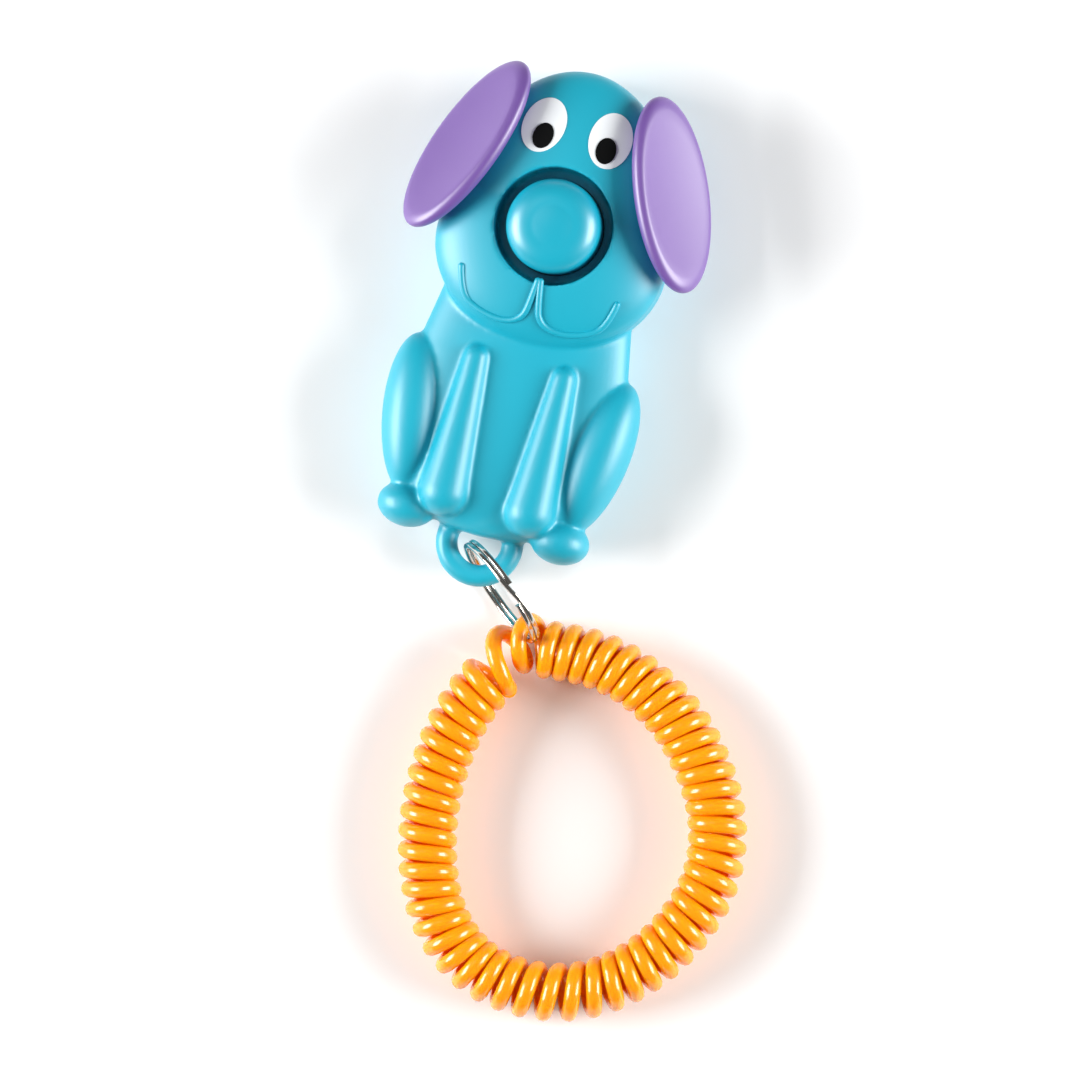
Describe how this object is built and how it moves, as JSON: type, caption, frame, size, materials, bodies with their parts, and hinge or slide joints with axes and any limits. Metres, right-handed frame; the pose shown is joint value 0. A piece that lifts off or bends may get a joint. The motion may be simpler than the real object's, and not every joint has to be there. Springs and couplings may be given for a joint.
{
  "type": "clicker trainer",
  "caption": "Dog-shaped training clicker with a push-button nose over a spring-steel click blade, moulded ears, a tail loop, a split ring and a coiled elastic wrist strap.",
  "frame": {"origin": "on the flat back of the case, in its middle plane, straight under the axis of the nose button", "axes": "+Z out of the dog's face, +Y from the tail loop towards the top of the head, +X towards the right ear as seen from the front"},
  "size_m": [0.0818, 0.155, 0.0207],
  "materials": {
    "shell_cyan": "satin moulded ABS, bright cyan",
    "button_cyan": "satin moulded plastic, the cyan of the case and a shade deeper",
    "ear_purple": "satin moulded plastic, purple",
    "eye_white": "glossy pad-printed white ink",
    "pupil_black": "glossy pad-printed black ink",
    "ring_nickel": "nickel-plated spring wire",
    "coil_orange": "glossy elastic cord, warm yellow-orange, slightly translucent",
    "spring_steel": "blued and ground spring strip",
    "clamp_black": "matte moulded plastic",
    "screw_steel": "zinc-plated steel"
  },
  "bodies": {
    "casing": {"front_shell": "shell_cyan", "rear_shell": "shell_cyan", "click_blade": "spring_steel", "blade_clamp": "clamp_black", "blade_screws": "screw_steel", "case_screws": "screw_steel", "left_ear": "ear_purple", "right_ear": "ear_purple", "left_eye_white": "eye_white", "right_eye_white": "eye_white", "left_pupil": "pupil_black", "right_pupil": "pupil_black"},
    "nose": {"nose_button": "button_cyan"},
    "ring": {"split_ring": "ring_nickel"},
    "strap": {"wrist_coil": "coil_orange", "coil_link_turn": "coil_orange", "coil_end_turn": "coil_orange"}
  },
  "joints": [
    {"name": "nose_press", "type": "slide", "parent": "casing", "child": "nose", "axis": [0, 0, -1], "range_m": [0, 0.0022], "stiffness_N_per_m": 1500, "deforming": ["click_blade"]},
    {"name": "ring_turn", "type": "hinge", "parent": "casing", "child": "ring", "pos_m": [0.0059, -0.06062, 0.00995], "axis": [-0.6391, -0.7405, 0.2079], "range_deg": [0, 100]},
    {"name": "strap_fold", "type": "hinge", "parent": "ring", "child": "strap", "pos_m": [0.01176, -0.06715, 0.0052], "axis": [-0.9111, -0.2305, -0.3417], "range_deg": [0, 34]}
  ]
}
